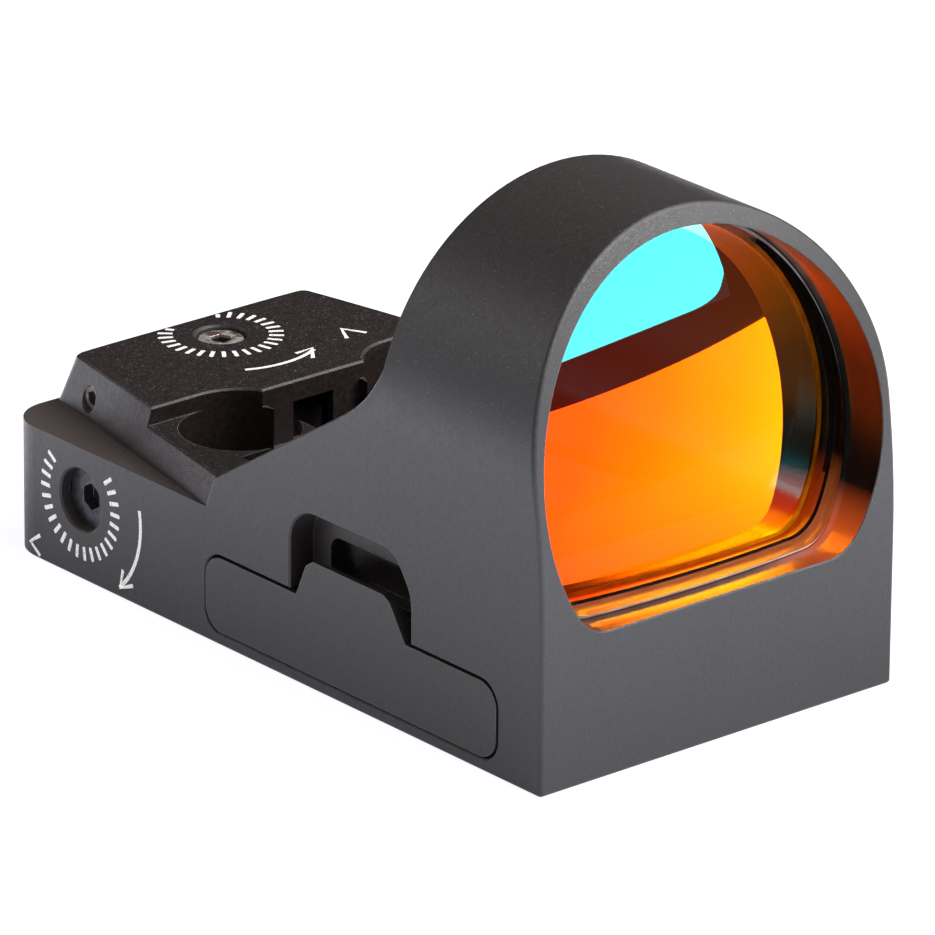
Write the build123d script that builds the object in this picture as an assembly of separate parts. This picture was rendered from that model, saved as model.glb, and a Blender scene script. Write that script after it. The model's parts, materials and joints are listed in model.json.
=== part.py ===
from build123d import *
import math
import os

# Open mini reflex sight used as a red dot finder.
# Millimetres. +Z up. -Y is the target side with the big window, +Y the observer's side,
# -X the side with the battery drawer and the windage dial. The origin is on the bottom face,
# midway between the two mounting-screw holes. In this file y is measured from the front face
# (y = 0) towards the rear; save() moves every part by -MOUNT_Y.

# ---- body ----
HALF_W = 14.2
LENGTH = 52.3
ARCH_A, ARCH_B = 14.2, 13.96   # half width and half height of the hood's elliptical arch
ARCH_Z = 19.02                 # arch centre
RAKE_Z, RAKE_R = 10.14, 55.5   # the front face is vertical up to RAKE_Z, then curves back
STOCK_Z = 34.0                 # top of the side profile, above the arch
HOOD_Y = 15.5                  # rear rim of the hood
LEDGE_Z = 8.87                 # low rear ledge
DECK_Z = 10.9                  # deck that carries the mounting-screw pockets
BLOCK_Z = 12.05                # top of the rear adjuster block
BLOCK_Y = 40.75                # front wall of the adjuster block
NOSE_Y = 38.83                 # front wall of its middle nose, which holds the emitter window
REAR_R = 2.9                   # rear vertical corners
RIM_R = 0.28                   # rounding of the front face's outer edge
EASE = 0.12                    # chamfer on the machined edges
WINDOW_EASE = 0.07

# ---- mounting ----
MOUNT_X, MOUNT_Y = 7.5, 36.85  # half spacing of the screws, distance from the front face
HEAD_POCKET_R, HEAD_SEAT_Z = 3.9, 4.6
MOUNT_R = 1.65                 # clearance hole for an M3 screw
PIN_X, PIN_DY, PIN_R, PIN_DEPTH = 11.7, 2.9, 1.0, 2.2   # locating-pin holes

# ---- window and lens ----
WINDOW_Z = 18.25               # centre of the round part of both openings
# radius, height of the flat sill, radius of the lower corners
WINDOW_R, SILL_Z, SILL_R = WINDOW = (13.45, 9.47, 3.0)
REAR_OPENING = (12.95, 10.3, 2.4)
LENS_Z = 20.0                  # height of the lens surfaces' reference point
# y, slope dy/dz and radius at the reference point
FRONT = (3.25, 0.23, 80.0)     # front glass surface
MIRROR = (5.35, 0.17, 72.0)    # coated surface; its radius is twice the distance to the emitter
BACK = (8.15, 0.20, 75.0)      # rear glass surface
GLUE = 0.02
CHANNEL_Y, CHANNEL_Z = 33.0, 8.0   # rear end of the channel's taper, channel floor

# ---- drawer ----
DRAWER_Y0, DRAWER_Y1, DRAWER_Z0, DRAWER_Z1 = DRAWER = (4.15, 31.92, 0.90, 5.83)
DRAWER_R = 1.5
DRAWER_GAP = 0.15              # line around the drawer front
TRAY_X = 8.4                   # inner end of the tray
CELL_R, CELL_H, CELL_RIM = 10.0, 3.2, 1.2
CELL_X, CELL_Y, CELL_Z = -2.6, (DRAWER_Y0 + DRAWER_Y1) / 2, 1.75
CONTACT_Y = 18.0               # middle of both battery contacts
DETENT_Y = 7.4                 # middle of the detent spring
# finger recess above the drawer
RECESS_Y0, RECESS_Y1, RECESS_Z0, RECESS_Z1 = 12.19, 23.78, 4.0, 11.49
RECESS_R, RECESS_X = 2.4, -12.25

# ---- switch panel in the +X side ----
PANEL_Y0, PANEL_Y1, PANEL_Z0, PANEL_Z1 = PANEL = (9.0, 30.4, 1.7, 7.9)
WELL = (PANEL_Y0 + 3.0, PANEL_Y1 - 3.0, PANEL_Z0 + 0.7, PANEL_Z1 - 0.7)   # deeper pocket
PANEL_MID_Y, PANEL_MID_Z = (PANEL_Y0 + PANEL_Y1) / 2, (PANEL_Z0 + PANEL_Z1) / 2
PANEL_SCREW_YS = (PANEL_Y0 + 1.5, PANEL_Y1 - 1.5)
BUTTON_PITCH = 6.8
BUTTON_YS = (PANEL_MID_Y - BUTTON_PITCH / 2, PANEL_MID_Y + BUTTON_PITCH / 2)

# ---- rear bay and adjusters ----
COVER = (-12.3, 13.2, 41.0, 51.3)                                        # x0, x1, y0, y1
COVER_SCREWS = [(-10.9, 42.7), (-10.9, 49.9), (11.6, 46.2), (11.6, 49.9)]   # x, y
TAP_R, TAPPED_SCREW_R = 0.64, 0.6   # small threaded holes and their screws
LEAD_X, LEAD_Y, LEAD_Z = 12.35, 43.4, 3.2
ELEV_Y = 48.14                 # elevation screw axis
ELEV_HEAD_R, ELEV_GLAND_R = 1.62, 1.3
WIND_Y, WIND_Z = 44.58, 5.35   # windage screw axis
WIND_HEAD_R, WIND_GLAND_R = 2.02, 1.5
SHAFT_R, SHAFT_HOLE_R = 0.8, 0.85
RUN = 0.04                     # running clearance
CLIP_R = 1.5
ELEV_LOCK_Y, ELEV_LOCK_Z = 48.3, 10.1
WIND_LOCK_X = -12.6
KEY_Y = 43.3                   # middle of the T-shaped key between carriage and nut
RAIL_Z0, RAIL_Z1 = 5.9, 7.3    # rail between the two carriages


# =====================================================================================
# helpers
# =====================================================================================
def box(x0, x1, y0, y1, z0, z1):
    return Pos((x0 + x1) / 2, (y0 + y1) / 2, (z0 + z1) / 2) * Box(x1 - x0, y1 - y0, z1 - z0)


def cyl_x(y, z, r, x0, x1):
    return Pos((x0 + x1) / 2, y, z) * Rot(0, 90, 0) * Cylinder(r, x1 - x0)


def cyl_y(x, z, r, y0, y1):
    return Pos(x, (y0 + y1) / 2, z) * Rot(90, 0, 0) * Cylinder(r, y1 - y0)


def cyl_z(x, y, r, z0, z1):
    return Pos(x, y, (z0 + z1) / 2) * Cylinder(r, z1 - z0)


def ring(cylinder, u, v, r_out, r_in, start, end):
    """tube made with cyl_x or cyl_z; u and v place its axis"""
    return cylinder(u, v, r_out, start, end) - cylinder(u, v, r_in, start - 1, end + 1)


def hex_prism(across_flats, length):
    return extrude(RegularPolygon(across_flats / 2 / math.cos(math.pi / 6), 6), length)


def prism_x(face, x0, x1):
    return Pos(x0, 0, 0) * extrude(face, x1 - x0, dir=(1, 0, 0))


def prism_y(face, y0, y1):
    return Pos(0, y0, 0) * extrude(face, y1 - y0, dir=(0, 1, 0))


def strip_y(points, y0, y1):
    """closed polygon of (x, z) points, extruded along Y"""
    return prism_y(make_face(Polyline(*[(x, 0, z) for x, z in points], close=True)), y0, y1)


def rounded(rect, radius, inset):
    u0, u1, v0, v1 = rect
    size = (u1 - u0 - 2 * inset, v1 - v0 - 2 * inset)
    return Pos((u0 + u1) / 2, (v0 + v1) / 2) * RectangleRounded(*size, radius)


def rounded_x(x0, x1, rect, radius, inset=0.0):
    """box over rect (y0, y1, z0, z1), made smaller by inset, with its edges along X rounded"""
    return prism_x(Plane.YZ * rounded(rect, radius, inset), x0, x1)


def rounded_z(z0, z1, rect, radius, inset=0.0):
    """the same along Z, over rect (x0, x1, y0, y1)"""
    return extrude(Pos(0, 0, z0) * rounded(rect, radius, inset), z1 - z0, dir=(0, 0, 1))


def yz_line(start, end):
    return Edge.make_line((0, *start), (0, *end))


def yz_arc(*points):
    return ThreePointArc(*[(0, *p) for p in points]).edge()


def yz_spline(points, tangents):
    return Spline(*[(0, *p) for p in points], tangents=[(0, *t) for t in tangents]).edge()


def outline(radius, sill, corner, grow=0.0):
    """face in the XZ plane: a circle cut by a flat sill, with rounded lower corners"""
    radius, sill = radius + grow, sill - grow
    x = radius * math.cos(math.asin((sill - WINDOW_Z) / radius))
    top = ThreePointArc((x, 0, sill), (0, 0, WINDOW_Z + radius), (-x, 0, sill)).edge()
    face = make_face(Wire([top, Edge.make_line((-x, 0, sill), (x, 0, sill))]))
    return face.face().fillet_2d(corner, face.vertices())


def ball(surface, shift=0.0):
    """ball whose front passes through (0, y, LENS_Z) with the given slope, shifted along y"""
    y, slope, r = surface
    angle = math.atan(slope)
    return Pos(0, y + shift + r * math.cos(angle), LENS_Z - r * math.sin(angle)) * Sphere(r)


def coil(radius, wire_r, pitch, height):
    """helical spring along +Z from z = 0"""
    path = Helix(pitch=pitch, height=height, radius=radius)
    return sweep(Plane(origin=path @ 0, z_dir=path % 0) * Circle(wire_r), path=path)


def near(a, b, tolerance=0.02):
    return abs(a - b) < tolerance


def edges_on(shape, test, samples=(0.02, 0.25, 0.5, 0.75, 0.98)):
    return [e for e in shape.edges() if all(test(e @ k) for k in samples)]


def one(shape):
    """the only solid of a shape, or its largest"""
    return max(shape.solids(), key=lambda s: s.volume)


def save(name, *shapes):
    solids = [Pos(0, -MOUNT_Y, 0) * one(s) for s in shapes]
    export_step(solids[0] if len(solids) == 1 else Compound(solids), f"parts/{name}.step")


os.makedirs("parts", exist_ok=True)


# =====================================================================================
# housing: outer form
# =====================================================================================
def front_y(z):
    """y of the front face at height z"""
    return RAKE_R - math.sqrt(RAKE_R ** 2 - (z - RAKE_Z) ** 2) if z > RAKE_Z else 0.0


def arch_ratio(p):
    """1 on the arch's ellipse"""
    return math.hypot(p.X / ARCH_A, (p.Z - ARCH_Z) / ARCH_B)


def on_front_rim(p):
    if not near(p.Y, front_y(p.Z)):
        return False
    if p.Z < ARCH_Z:
        return near(abs(p.X), HALF_W, 0.01)
    return near(arch_ratio(p), 1, 0.001)


# y, z down the curve behind the hood
SHOULDER = [(HOOD_Y, 22.9), (15.78, 22.02), (16.29, 21.07),
            (16.95, 20.27), (18.01, 19.37), (19.44, 18.41)]
# y, z from the end of that curve round to the front face's lower edge
LOWER_SIDE = [SHOULDER[-1], (31.07, 11.03), (31.87, LEDGE_Z),
              (LENGTH, LEDGE_Z), (LENGTH, 0), (0, 0)]
side = make_face(Wire([
    yz_line((0, 0), (0, RAKE_Z)),
    yz_arc((0, RAKE_Z), (front_y(22), 22), (front_y(STOCK_Z), STOCK_Z)),
    yz_line((front_y(STOCK_Z), STOCK_Z), (HOOD_Y, STOCK_Z)),
    yz_line((HOOD_Y, STOCK_Z), SHOULDER[0]),
    yz_spline(SHOULDER, ((0, -1), (0.845, -0.535))),
    *[yz_line(a, b) for a, b in zip(LOWER_SIDE, LOWER_SIDE[1:])],
]))
body = prism_x(side, -HALF_W, HALF_W)
arch = make_face(Wire([
    Edge.make_line((-HALF_W, 0, -0.1), (HALF_W, 0, -0.1)),
    Edge.make_line((HALF_W, 0, -0.1), (HALF_W, 0, ARCH_Z)),
    (Plane.XZ * EllipticalCenterArc((0, ARCH_Z), ARCH_A, ARCH_B,
                                    start_angle=0, arc_size=180)).edge(),
    Edge.make_line((-HALF_W, 0, ARCH_Z), (-HALF_W, 0, -0.1)),
]))
body = body & prism_y(arch, -1, 60)
plan = box(-HALF_W, HALF_W, -10, LENGTH, -1, 40)
plan = fillet([e for e in plan.edges().filter_by(Axis.Z) if e.center().Y > LENGTH / 2], REAR_R)
body = body & plan
body = fillet(edges_on(body, on_front_rim, (0.1, 0.5, 0.9)), RIM_R)


# rear island: inclined flanks, sloping rear face
def flank_x(y, z):
    """half width between the island's flanks"""
    return 14.15 - 0.197 * (y - 31.9) - 0.30 * (z - LEDGE_Z)


def island_rear_y(z):
    return LENGTH - 0.05 - 0.29 * (z - LEDGE_Z)


def island_section(z):
    y0, y1 = 30.4, island_rear_y(z)
    x0, x1 = flank_x(y0, z), flank_x(y1, z)
    return Polyline((-x0, y0, z), (x0, y0, z), (x1, y1, z), (-x1, y1, z), close=True).wire()


island_z0 = LEDGE_Z - 0.6
island = Solid.make_loft([island_section(island_z0), island_section(BLOCK_Z)], ruled=True)
corner_y = (island_rear_y(island_z0) + island_rear_y(BLOCK_Z)) / 2
island = fillet([e for e in island.edges()
                 if abs(e.center().Y - corner_y) < 0.6 and abs(e.center().X) > 8], 0.8)
island = island & box(-HALF_W, HALF_W, 30, LENGTH, 0, 20)
block = island & box(-20, 20, BLOCK_Y, 60, 0, 20)
nose = island & box(-MOUNT_X, MOUNT_X, NOSE_Y, BLOCK_Y + 0.5, 0, 20)
deck = island & box(-20, 20, 30, BLOCK_Y + 0.5, 0, DECK_Z)
body = body + block + nose + deck

# =====================================================================================
# housing: cuts
# =====================================================================================
# window from the front to the lens seat, smaller opening behind it
body = body - (prism_y(outline(*WINDOW), -2, 16) - ball(BACK, 0.05))
body = body - prism_y(outline(*REAR_OPENING), 1.0, CHANNEL_Y)
# light channel from the emitter window, widening towards the lens
channel = make_face(Polyline(*[(x, y, CHANNEL_Z) for x, y in (
    (-3.8, NOSE_Y), (3.8, NOSE_Y), (3.8, CHANNEL_Y),
    (7.6, 16.0), (-7.6, 16.0), (-3.8, CHANNEL_Y))], close=True))
body = body - extrude(channel, 12, dir=(0, 0, 1))
for s in (-1, 1):
    body = body - cyl_z(s * MOUNT_X, MOUNT_Y, HEAD_POCKET_R, HEAD_SEAT_Z, 14)
    body = body - cyl_z(s * MOUNT_X, MOUNT_Y, MOUNT_R, -1, 6)
    for d in (-1, 1):
        body = body - cyl_z(s * PIN_X, MOUNT_Y + d * PIN_DY, PIN_R, -1, PIN_DEPTH)
# emitter window opening and its seat
body = body - box(-1.62, 1.62, NOSE_Y - 1, 41, 8.0, 10.65)
body = body - box(-1.95, 1.95, NOSE_Y + 0.55, 41, 7.95, 10.95)

# drawer bay, its floor a little closer than the other sides
bay = (DRAWER_Y0 - DRAWER_GAP, DRAWER_Y1 + DRAWER_GAP,
       DRAWER_Z0 - DRAWER_GAP + 0.02, DRAWER_Z1 + DRAWER_GAP)
body = body - rounded_x(-15, TRAY_X + 0.3, bay, DRAWER_R + DRAWER_GAP)
arc_inset = RECESS_R * (1 - math.sqrt(0.5))
recess = make_face(Wire([
    yz_line((RECESS_Y0, RECESS_Z0), (RECESS_Y1, RECESS_Z0)),
    yz_line((RECESS_Y1, RECESS_Z0), (RECESS_Y1, RECESS_Z1 - RECESS_R)),
    yz_arc((RECESS_Y1, RECESS_Z1 - RECESS_R), (RECESS_Y1 - arc_inset, RECESS_Z1 - arc_inset),
           (RECESS_Y1 - RECESS_R, RECESS_Z1)),
    yz_line((RECESS_Y1 - RECESS_R, RECESS_Z1), (14.9, RECESS_Z1)),
    yz_spline([(14.9, RECESS_Z1), (13.6, 11.02), (12.75, 9.9), (RECESS_Y0, 7.2)],
              ((-1, 0), (0, -1))),
    yz_line((RECESS_Y0, 7.2), (RECESS_Y0, RECESS_Z0)),
]))
body = body - prism_x(recess, -15, RECESS_X)
# pockets in the bay's roof for the sprung contact and the detent spring
body = body - box(-4.5, 3.0, CONTACT_Y - 1.8, CONTACT_Y + 1.8, 5, 6.75)
body = body - box(-9.6, -5.6, DETENT_Y - 1, DETENT_Y + 1, 5, 6.75)
# slot with rounded corners in the recess's back wall
body = body - rounded_x(-13, RECESS_X + 1.1, (13.9, 22.1, 6.9, 9.55), 0.9)

# switch pocket
body = body - rounded_x(10.3, 15, WELL, 0.8)
body = body - rounded_x(13.2, 15, PANEL, 1.2)
# wire hole from the switch pocket to the rear bay, and contact pass-through
body = body - cyl_y(LEAD_X, LEAD_Z, 0.6, 26.5, 43)
body = body - box(8, 10.6, CONTACT_Y - 0.8, CONTACT_Y + 0.8, 2.6, 4.2)

# rear bay: main room, lead slot, emitter room, elevation room, cover seat
body = body - box(-9.2, 5.2, 41.6, 50.4, 0.5, 7.4)
body = body - box(5.0, 12.95, LEAD_Y - 1, LEAD_Y + 1, 0.5, 4.6)
body = body - box(-3.3, 3.3, 40.25, 45.4, 4.4, 11.0)
body = body - box(-3.3, 3.3, 45.3, 50.4, 0.5, 8.6)
body = body - rounded_z(-1, 0.8, COVER, 1.0)
# adjuster seats: head, O-ring gland, shaft
for r, z0, z1 in ((ELEV_HEAD_R + RUN, 9.6, 13), (ELEV_GLAND_R, 9.2, 10), (SHAFT_HOLE_R, 8, 10)):
    body = body - cyl_z(0, ELEV_Y, r, z0, z1)
for r, x0, x1 in ((WIND_HEAD_R + RUN, -15, -11.9), (WIND_GLAND_R, -12, -11.3),
                  (SHAFT_HOLE_R, -12, -9)):
    body = body - cyl_x(WIND_Y, WIND_Z, r, x0, x1)
# lock screw holes
body = body - cyl_x(ELEV_LOCK_Y, ELEV_LOCK_Z, SHAFT_R + RUN, -13, -1.2)
body = body - cyl_y(WIND_LOCK_X, WIND_Z, SHAFT_R + RUN, WIND_Y + 1.5, 54)
# threaded holes for the switch panel and the bay cover
for y in PANEL_SCREW_YS:
    body = body - cyl_x(y, PANEL_MID_Z, TAP_R, 10.9, 15)
for x, y in COVER_SCREWS:
    body = body - cyl_z(x, y, TAP_R, -1, 3.4)


# =====================================================================================
# housing: eased edges, one test of edge points for each group
# =====================================================================================
def on_window_edge(p):
    return (near(p.Y, front_y(p.Z)) and p.Z > SILL_Z - 0.1 and abs(p.X) < WINDOW_R + 0.05
            and (near(math.hypot(p.X, p.Z - WINDOW_Z), WINDOW_R) or near(p.Z, SILL_Z)
                 or (abs(p.X) > 7.9 and p.Z < 10.8)))


def on_hood_rim(p):
    return near(p.Y, HOOD_Y) and near(arch_ratio(p), 1, 0.002) and p.Z > ARCH_Z


def on_elev_seat(p):
    return near(math.hypot(p.X, p.Y - ELEV_Y), ELEV_HEAD_R + RUN)


def on_block_top(p):
    return near(p.Z, BLOCK_Z) and not on_elev_seat(p)


def on_deck_side(p):
    return near(p.Z, DECK_Z) and abs(abs(p.X) - flank_x(p.Y, p.Z)) < 0.05


def on_bottom_outline(p):
    x = abs(p.X) - HALF_W
    rear = math.hypot(x + REAR_R, p.Y - LENGTH + REAR_R)
    front = math.hypot(x + RIM_R, p.Y - RIM_R)
    return near(p.Z, 0) and (
        near(x, 0, 0.03) or near(p.Y, LENGTH) or near(p.Y, 0)
        or (near(rear, REAR_R, 0.03) and p.Y > LENGTH - REAR_R) or near(front, RIM_R, 0.03))


def on_drawer_opening(p):
    return (near(p.X, -HALF_W) and 0.7 < p.Z < 11.6 and 3.9 < p.Y < 33
            and not (p.Z > 8.8 and p.Y > 31))


def on_wind_seat(p):
    radius = math.hypot(p.Y - WIND_Y, p.Z - WIND_Z)
    return near(p.X, -HALF_W) and near(radius, WIND_HEAD_R + RUN, 0.03)


def on_elev_seat_top(p):
    return near(p.Z, BLOCK_Z) and on_elev_seat(p)


housing = one(body)
housing = one(chamfer(edges_on(housing, on_window_edge), WINDOW_EASE))
for test in (on_hood_rim, on_block_top, on_deck_side, on_bottom_outline, on_drawer_opening,
             on_wind_seat, on_elev_seat_top):
    housing = one(chamfer(edges_on(housing, test), EASE))
save("housing", housing)

# =====================================================================================
# optics
# =====================================================================================
lens = prism_y(outline(*WINDOW, -0.06), -1, 16)
lens_core = prism_y(outline(*WINDOW, -0.36), -1, 16)
bond_hole = prism_y(outline(*WINDOW, -0.32), -2, 17)
save("lens_front_element", (lens & ball(FRONT)) - ball(MIRROR))
save("lens_rear_element", (lens_core & ball(MIRROR, GLUE)) - ball(BACK))
save("lens_bond_ring", ((lens - bond_hole) & ball(MIRROR, GLUE)) - ball(BACK, -0.25))
save("emitter_window", box(-1.9, 1.9, NOSE_Y + 0.58, NOSE_Y + 1.3, 8.0, 10.9))

# =====================================================================================
# battery drawer, cell and contacts
# =====================================================================================
# finger tab above the front plate: y, z
TAB = [(23.09, 5.0), (23.09, DRAWER_Z1), (22.15, 8.0), (21.5, 8.44), (14.75, 8.44),
       (14.2, 8.15), (12.66, DRAWER_Z1), (12.66, 5.0)]
plug = rounded_x(-HALF_W, -10.9, DRAWER, DRAWER_R)
tab = make_face(Polyline(*[(0, y, z) for y, z in TAB], close=True))
tab = fillet(tab.vertices().filter_by(lambda v: v.Z > 8.4 and v.Y < 15), 0.5)
tab = prism_x(tab, -HALF_W, -HALF_W + 1.5)
# the tab's inner face leans out to a thin lip
tab = tab & strip_y([(-HALF_W - 1, 4), (-HALF_W + 1.5, 4), (-HALF_W + 1.5, DRAWER_Z1),
                     (-HALF_W + 0.35, 8.5), (-HALF_W - 1, 8.5)], 0, 40)
tray = rounded_x(-11.2, TRAY_X, (DRAWER_Y0 + 0.3, DRAWER_Y1 - 0.3,
                                 DRAWER_Z0 + 0.1, DRAWER_Z1 - 0.15), 1.3)
drawer = plug + tab + tray
cell_floor = CELL_Z - 0.03
drawer = drawer - cyl_z(CELL_X, CELL_Y, CELL_R + 0.08, cell_floor, 9)
# gap for the positive contact
drawer = drawer - box(CELL_X + 5, TRAY_X + 1, CONTACT_Y - 1.4, CONTACT_Y + 1.4, cell_floor, 9)
# seal groove
drawer = drawer - (rounded_x(-12.7, -12.0, DRAWER, 1.0, -1)
                   - rounded_x(-13, -11, DRAWER, 1.0, 0.5))
# detent notch
drawer = drawer - box(-9.0, -6.2, DETENT_Y - 1.2, DETENT_Y + 1.2, DRAWER_Z1 - 0.75, 9)
save("battery_drawer", drawer)
save("battery_cell",
     cyl_z(CELL_X, CELL_Y, CELL_R, CELL_Z, CELL_Z + CELL_H - 0.25)
     + cyl_z(CELL_X, CELL_Y, CELL_R - CELL_RIM, CELL_Z, CELL_Z + CELL_H))
save("drawer_seal", rounded_x(-12.68, -12.02, DRAWER, 1.45, 0.03)
     - rounded_x(-13, -11, DRAWER, 1.0, 0.47))

# bent leaves: x, z
# under the bay roof, tip just above the cell
NEGATIVE = [(2.8, 6.7), (-4.3, 6.7), (-4.3, 6.5), (0.6, 6.5), (-2.4, 5.0), (-3.4, 5.25),
            (-3.5, 5.1), (-2.4, 4.98), (1.1, 6.3), (2.8, 6.3)]
# at the inner end of the bay, tip at the side of the cell
POSITIVE = [(10.4, 3.3), (8.55, 3.3), (7.48, 2.6), (7.46, 2.75), (8.45, 3.5), (10.4, 3.5)]
DETENT = [(-9.5, 6.7), (-5.7, 6.7), (-5.7, 6.5), (-6.7, 6.5), (-7.6, 5.3), (-8.5, 6.5),
          (-9.5, 6.5)]
for name, points, y, half_width in (("battery_contact_negative", NEGATIVE, CONTACT_Y, 0.9),
                                    ("battery_contact_positive", POSITIVE, CONTACT_Y, 0.7),
                                    ("drawer_detent_spring", DETENT, DETENT_Y, 0.8)):
    save(name, strip_y(points, y - half_width, y + half_width))

# =====================================================================================
# electronics and brightness buttons in the +X side
# =====================================================================================
panel = rounded_x(13.25, HALF_W, PANEL, 1.16, 0.04)
gasket = rounded_x(12.95, 13.2, WELL, 0.75, 0.05)
for y in BUTTON_YS:
    panel = panel - cyl_x(y, PANEL_MID_Z, 2.05, 12, 15)
    gasket = gasket - cyl_x(y, PANEL_MID_Z, 2.35, 12, 15)
for y in PANEL_SCREW_YS:
    panel = panel - cyl_x(y, PANEL_MID_Z, 0.66, 12, 15) - cyl_x(y, PANEL_MID_Z, 1.05, 13.8, 15)
save("control_panel", panel)
save("panel_gasket", gasket)


def panel_screw(y):
    screw = cyl_x(y, PANEL_MID_Z, TAPPED_SCREW_R, 11.6, 13.85)
    screw = screw + cyl_x(y, PANEL_MID_Z, 1.0, 13.82, 14.12)
    return screw - Pos(13.7, y, PANEL_MID_Z) * Rot(0, 90, 0) * hex_prism(0.9, 0.8)


def button(y, plus):
    """cap, flange and plunger, engraved with a plus or a minus"""
    cap = (cyl_x(y, PANEL_MID_Z, 2.0, 12.35, HALF_W + 0.45)
           + cyl_x(y, PANEL_MID_Z, 2.3, 12.1, 12.55) + cyl_x(y, PANEL_MID_Z, 0.6, 11.95, 12.3))
    cap = fillet(cap.edges().filter_by(GeomType.CIRCLE).sort_by(Axis.X)[-1:], 0.25)
    long, thin = 0.9, 0.16   # half length and half width of a stroke
    x0, x1, z = HALF_W + 0.3, HALF_W + 1, PANEL_MID_Z
    mark = box(x0, x1, y - long, y + long, z - thin, z + thin)
    if plus:
        mark = mark + box(x0, x1, y - thin, y + thin, z - long, z + long)
    return cap - mark


save("control_panel_screws", *[panel_screw(y) for y in PANEL_SCREW_YS])
save("brightness_up_button", button(BUTTON_YS[0], True))
save("brightness_down_button", button(BUTTON_YS[1], False))
save("circuit_board", rounded_x(10.4, 11.1, WELL, 0.6, 0.1) - cyl_x(CONTACT_Y, 3.4, 0.5, 10, 12))
save("dome_switches", *[cyl_x(y, PANEL_MID_Z, 1.6, 11.12, 11.25)
                        + cyl_x(y, PANEL_MID_Z, 1.0, 11.2, 11.42) for y in BUTTON_YS])
# outer face x, y0, y1, z0, z1
COMPONENTS = [(11.6, 18.7, 20.7, 4.2, 6.2), (11.5, 25.6, 26.2, 4.6, 5.6),
              (11.5, 13.0, 13.6, 5.0, 6.0), (11.45, 19.4, 20.4, 3.0, 3.5)]
save("board_components", *[box(11.12, *c) for c in COMPONENTS])

# =====================================================================================
# rear bay cover and leads
# =====================================================================================
cover = rounded_z(0, 0.75, COVER, 0.95, 0.05)
cover_screws = []
for x, y in COVER_SCREWS:
    cover = cover - cyl_z(x, y, 0.7, -1, 2) - Pos(x, y, 0.25) * Cone(1.35, 0.7, 0.6)
    screw = cyl_z(x, y, TAPPED_SCREW_R, 0.5, 3.2) + Pos(x, y, 0.3) * Cone(1.2, 0.6, 0.5)
    cover_screws.append(screw - box(x - 1.3, x + 1.3, y - 0.12, y + 0.12, -1, 0.35))
save("base_cover", cover)
save("base_cover_screws", *cover_screws)
save("emitter_leads", cyl_y(LEAD_X, LEAD_Z, 0.45, 26.0, 43.6)
     + cyl_x(LEAD_Y, LEAD_Z, 0.45, 5.6, 12.4))

# =====================================================================================
# adjusters
# =====================================================================================
screw = cyl_z(0, ELEV_Y, ELEV_HEAD_R, 9.66, 11.78) + cyl_z(0, ELEV_Y, SHAFT_R, 3.2, 9.7)
screw = screw - Pos(0, ELEV_Y, 10.6) * hex_prism(1.3, 1.4)
screw = screw - ring(cyl_z, 0, ELEV_Y, 2.0, 1.45, 11.6, 12)   # step around the head's top
save("elevation_screw", screw)
save("elevation_oring", ring(cyl_z, 0, ELEV_Y, ELEV_GLAND_R - 0.03, SHAFT_R + 0.02, 9.22, 9.6))
save("elevation_clip", ring(cyl_z, 0, ELEV_Y, CLIP_R, SHAFT_R + 0.01, 8.25, 8.55)
     - box(-0.5, 0.5, ELEV_Y - 2, ELEV_Y, 8, 9))

screw = (cyl_x(WIND_Y, WIND_Z, WIND_HEAD_R, -13.3, -11.95)
         + cyl_x(WIND_Y, WIND_Z, SHAFT_R, -12, -4.8))
screw = screw - Pos(-14, WIND_Y, WIND_Z) * Rot(0, 90, 0) * hex_prism(1.6, 1.5)
save("windage_screw", screw)
save("windage_oring",
     ring(cyl_x, WIND_Y, WIND_Z, WIND_GLAND_R - 0.03, SHAFT_R + 0.02, -11.88, -11.34))
save("windage_clip", ring(cyl_x, WIND_Y, WIND_Z, CLIP_R, SHAFT_R + 0.01, -9.15, -8.85)
     - box(-10, -8, WIND_Y - 0.5, WIND_Y + 0.5, WIND_Z - 2, WIND_Z))

save("elevation_lock_screw", cyl_x(ELEV_LOCK_Y, ELEV_LOCK_Z, SHAFT_R, -10.25, -1.72)
     - Pos(-11, ELEV_LOCK_Y, ELEV_LOCK_Z) * Rot(0, 90, 0) * hex_prism(0.9, 1.8))
save("windage_lock_screw", cyl_y(WIND_LOCK_X, WIND_Z, SHAFT_R, WIND_Y + 2.1, LENGTH - 1.6)
     - Pos(WIND_LOCK_X, LENGTH - 2.7, WIND_Z) * Rot(-90, 0, 0)
     * extrude(RegularPolygon(0.52, 6), 2))

# elevation carriage with a rail on its front face
carriage = (box(-2.35, 2.35, 45.85, 50.2, 4.4, 7.6)
            + box(-2.35, 2.35, 44.75, 46.2, RAIL_Z0, RAIL_Z1))
save("elevation_carriage", carriage - cyl_z(0, ELEV_Y, SHAFT_R + RUN, 0, 12))

# emitter carriage, grooved at the rear to slide along the rail, T-shaped key on its -X side
carriage = box(-2.4, 2.4, 41.55, 45.7, 5.0, 10.4)
carriage = carriage - box(-4, 4, 44.7, 46, RAIL_Z0 - RUN, RAIL_Z1 + RUN)
carriage = carriage - box(-2.5, 2.5, 45.4, 46, 8.0, 11)
carriage = (carriage + box(-3.35, -2.3, KEY_Y - 0.3, KEY_Y + 0.3, 5.0, 6.2)
            + box(-4.1, -3.3, KEY_Y - 0.8, KEY_Y + 0.8, 5.0, 6.2))
save("emitter_carriage", carriage)
save("emitter_board", box(-2.1, 2.1, 41.2, 41.53, 7.6, 10.4))
save("led_emitter", box(-0.8, 0.8, 40.7, 41.18, 9.2, 9.9) + cyl_y(0, 9.55, 0.22, 40.55, 40.75))

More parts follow.
